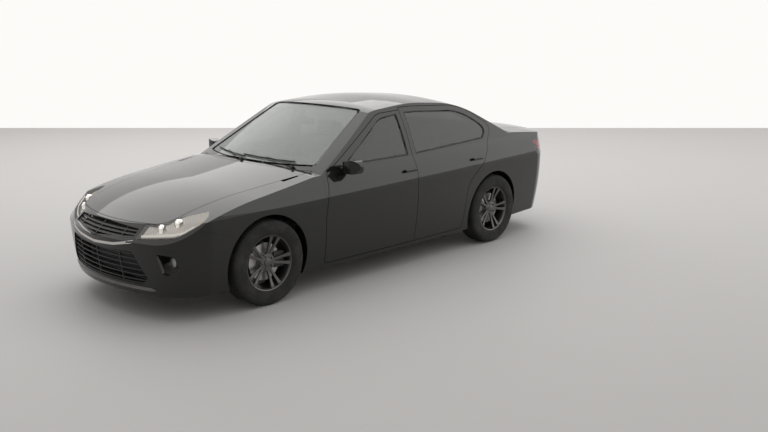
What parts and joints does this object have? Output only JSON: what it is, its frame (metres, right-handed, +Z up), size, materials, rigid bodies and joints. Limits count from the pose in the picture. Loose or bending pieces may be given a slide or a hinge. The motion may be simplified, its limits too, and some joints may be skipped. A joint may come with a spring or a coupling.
{
  "type": "sedan car",
  "caption": "Road car with a closed cabin, opening doors, hood and trunk lid, steered front wheels, seats and dashboard, for carrying people.",
  "frame": {"origin": "on the ground, under the middle of the bounding box", "axes": "+Y towards the tail, +X towards the car's left side, +Z up; the nose points to -Y"},
  "size_m": [2.0722, 4.8539, 1.4698],
  "materials": {
    "body_paint": "glossy charcoal paint",
    "window_glass": "tinted clear",
    "clear_lens": "clear",
    "red_lens": "clear red",
    "dark_trim": "matte black",
    "seat_fabric": "woven",
    "underbody": "matte black paint",
    "suspension_iron": "rough",
    "engine_alloy": "cast",
    "exhaust_steel": "satin",
    "tyre_rubber": "matte black",
    "rim_alloy": "satin grey"
  },
  "bodies": {
    "car": {"body_side_left": "body_paint", "body_side_right": "body_paint", "roof_panel": "body_paint", "cowl": "body_paint", "rear_shelf": "body_paint", "floor_pan": "underbody", "front_bumper": "body_paint", "rear_bumper": "body_paint", "fenders": "body_paint", "headlamps": "clear_lens", "tail_lamps": "red_lens", "grilles": "dark_trim", "windscreen": "window_glass", "rear_window": "window_glass", "front_frame": "underbody", "front_suspension": "suspension_iron", "rear_suspension": "suspension_iron", "engine": "engine_alloy", "exhaust": "exhaust_steel", "front_seats": "seat_fabric", "rear_seat": "seat_fabric", "dashboard": "dark_trim"},
    "hood": {"hood": "body_paint"},
    "trunk_lid": {"trunk_lid": "body_paint"},
    "steering_wheel": {"steering_wheel": "dark_trim"},
    "door_fl": {"door_front_left": "body_paint", "glass_front_left": "window_glass", "mirror_left": "body_paint"},
    "door_rl": {"door_rear_left": "body_paint", "glass_rear_left": "window_glass"},
    "knuckle_left": {"knuckle_left": "suspension_iron"},
    "wheel_fl": {"rim_front_left": "rim_alloy", "tyre_front_left": "tyre_rubber"},
    "wheel_rl": {"rim_rear_left": "rim_alloy", "tyre_rear_left": "tyre_rubber"},
    "door_fr": {"door_front_right": "body_paint", "glass_front_right": "window_glass", "mirror_right": "body_paint"},
    "door_rr": {"door_rear_right": "body_paint", "glass_rear_right": "window_glass"},
    "knuckle_right": {"knuckle_right": "suspension_iron"},
    "wheel_fr": {"rim_front_right": "rim_alloy", "tyre_front_right": "tyre_rubber"},
    "wheel_rr": {"rim_rear_right": "rim_alloy", "tyre_rear_right": "tyre_rubber"}
  },
  "joints": [
    {"name": "steer_left", "type": "hinge", "parent": "car", "child": "knuckle_left", "pos_m": [0.757, -1.462, 0.334], "axis": [0, 0, 1], "range_deg": [-35, 35]},
    {"name": "steer_right", "type": "hinge", "parent": "car", "child": "knuckle_right", "pos_m": [-0.757, -1.462, 0.334], "axis": [0, 0, 1], "range_deg": [-35, 35]},
    {"name": "steering_wheel_turn", "type": "hinge", "parent": "car", "child": "steering_wheel", "pos_m": [0.365, -0.395, 0.905], "axis": [0, 0.9135, 0.4067], "range_deg": [-540, 540]},
    {"name": "wheel_fl_spin", "type": "hinge", "parent": "knuckle_left", "child": "wheel_fl", "pos_m": [0.787, -1.462, 0.334], "axis": [1, 0, 0], "continuous": true},
    {"name": "wheel_rl_spin", "type": "hinge", "parent": "car", "child": "wheel_rl", "pos_m": [0.787, 1.328, 0.334], "axis": [1, 0, 0], "continuous": true},
    {"name": "door_fl_open", "type": "hinge", "parent": "car", "child": "door_fl", "pos_m": [0.90531, -0.89, 0.5], "axis": [0, 0, -1], "range_deg": [0, 65]},
    {"name": "door_rl_open", "type": "hinge", "parent": "car", "child": "door_rl", "pos_m": [0.91168, 0.197, 0.5], "axis": [0, 0, -1], "range_deg": [0, 65]},
    {"name": "wheel_fr_spin", "type": "hinge", "parent": "knuckle_right", "child": "wheel_fr", "pos_m": [-0.787, -1.462, 0.334], "axis": [1, 0, 0], "continuous": true},
    {"name": "wheel_rr_spin", "type": "hinge", "parent": "car", "child": "wheel_rr", "pos_m": [-0.787, 1.328, 0.334], "axis": [1, 0, 0], "continuous": true},
    {"name": "door_fr_open", "type": "hinge", "parent": "car", "child": "door_fr", "pos_m": [-0.90531, -0.89, 0.5], "axis": [0, 0, 1], "range_deg": [0, 65]},
    {"name": "door_rr_open", "type": "hinge", "parent": "car", "child": "door_rr", "pos_m": [-0.91168, 0.197, 0.5], "axis": [0, 0, 1], "range_deg": [0, 65]},
    {"name": "hood_open", "type": "hinge", "parent": "car", "child": "hood", "pos_m": [0, -0.90465, 0.97977], "axis": [-1, 0, 0], "range_deg": [0, 60]},
    {"name": "trunk_open", "type": "hinge", "parent": "car", "child": "trunk_lid", "pos_m": [0, 1.742, 1.10183], "axis": [1, 0, 0], "range_deg": [0, 80]}
  ],
  "couplings": [
    {"joint": "steer_right", "follows": "steer_left", "ratio": 1},
    {"joint": "steering_wheel_turn", "follows": "steer_left", "ratio": 15.4}
  ]
}
